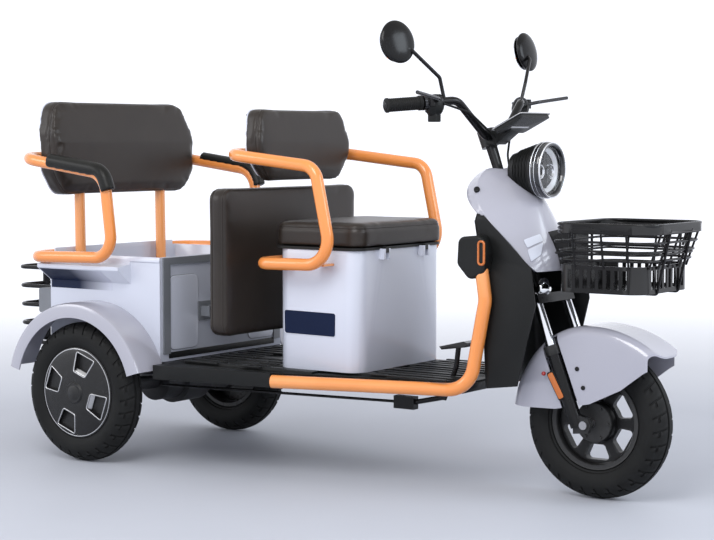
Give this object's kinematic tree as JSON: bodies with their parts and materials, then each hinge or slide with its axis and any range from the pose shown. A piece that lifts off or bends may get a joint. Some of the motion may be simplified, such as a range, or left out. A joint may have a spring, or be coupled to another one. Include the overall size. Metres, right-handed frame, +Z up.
{
  "type": "electric tricycle",
  "caption": "Three-wheeled electric passenger tricycle with a driver's seat over the battery, a folding rear seat, a cargo box, armrests, a front basket and mirrors.",
  "frame": {"origin": "on the ground, under the middle of the vehicle's overall box", "axes": "+X forwards, +Y to the vehicle's left, +Z up"},
  "size_m": [2.1124, 0.8, 1.242],
  "materials": {
    "frame_black": "satin black paint",
    "orange_paint": "gloss apricot orange paint",
    "white_shell": "gloss pearl white moulding",
    "grey_trim": "satin grey moulding",
    "black_plastic": "grained black moulding",
    "brown_leather": "dark brown artificial leather",
    "black_leather": "black soft pad",
    "rubber_black": "black rubber",
    "tyre_black": "treaded rubber",
    "cast_black": "black painted cast aluminium",
    "cover_black": "black wheel cover with bright window frames",
    "chrome_bright": "polished chrome",
    "steel_axle": "turned steel",
    "cast_grey": "painted housing",
    "spring_steel": "dark spring steel",
    "lens_clear": "clear polycarbonate",
    "lamp_red": "red lens in a grey housing",
    "mirror_silver": "mirror glass",
    "battery_case": "battery case",
    "lever_silver": "satin lever"
  },
  "bodies": {
    "frame": {"main_frame": "frame_black", "head_tube": "frame_black", "floor_panel": "black_plastic", "side_rails": "orange_paint", "rear_axle": "cast_grey", "leaf_springs": "spring_steel", "foot_brake": "frame_black", "rear_box": "white_shell", "rear_box_trim": "grey_trim", "rear_fenders": "white_shell", "rear_armrest_frame": "orange_paint", "rear_armrest_pads": "black_leather", "rear_backrest": "brown_leather", "rear_rack": "frame_black", "tail_lamps": "lamp_red", "driver_seat_box": "white_shell", "battery_pack": "battery_case", "driver_armrest_frame": "orange_paint", "driver_backrest": "brown_leather", "leg_shield": "black_plastic", "front_panel": "white_shell", "side_pods": "black_plastic", "headlight_bucket": "black_plastic", "headlight_bezel": "chrome_bright", "headlight_lens": "lens_clear", "basket": "frame_black"},
    "steering": {"steering_fork": "chrome_bright", "fork_lowers": "frame_black", "front_axle": "steel_axle", "front_fender": "white_shell", "handlebar": "frame_black", "grips": "rubber_black", "hand_controls": "lever_silver", "mirror_arms": "frame_black", "mirror_glass": "mirror_silver", "display": "black_plastic", "control_cables": "rubber_black"},
    "front_wheel": {"front_tyre": "tyre_black", "front_wheel": "cast_black"},
    "rear_wheel_right": {"rear_tyre_right": "tyre_black", "rear_wheel_right": "cover_black"},
    "rear_wheel_left": {"rear_tyre_left": "tyre_black", "rear_wheel_left": "cover_black"},
    "driver_seat": {"driver_cushion": "brown_leather", "driver_seat_pan": "black_plastic"},
    "rear_seat": {"rear_seat_cushion": "brown_leather", "rear_seat_frame": "frame_black"}
  },
  "joints": [
    {"name": "steering", "type": "hinge", "parent": "frame", "child": "steering", "pos_m": [0.5145, 0, 0.864], "axis": [-0.3584, 0, 0.9336], "range_deg": [-40, 40]},
    {"name": "front_wheel", "type": "hinge", "parent": "steering", "child": "front_wheel", "pos_m": [0.8285, 0, 0.203], "axis": [0, 1, 0], "continuous": true},
    {"name": "rear_wheel_right", "type": "hinge", "parent": "frame", "child": "rear_wheel_right", "pos_m": [-0.6715, -0.342, 0.203], "axis": [0, 1, 0], "continuous": true},
    {"name": "rear_wheel_left", "type": "hinge", "parent": "frame", "child": "rear_wheel_left", "pos_m": [-0.6715, 0.342, 0.203], "axis": [0, 1, 0], "continuous": true},
    {"name": "driver_seat_lid", "type": "hinge", "parent": "frame", "child": "driver_seat", "pos_m": [0.2215, 0, 0.634], "axis": [0, 1, 0], "range_deg": [0, 75]},
    {"name": "rear_seat_fold", "type": "hinge", "parent": "frame", "child": "rear_seat", "pos_m": [-0.4065, 0, 0.434], "axis": [0, -1, 0], "range_deg": [0, 90]}
  ]
}
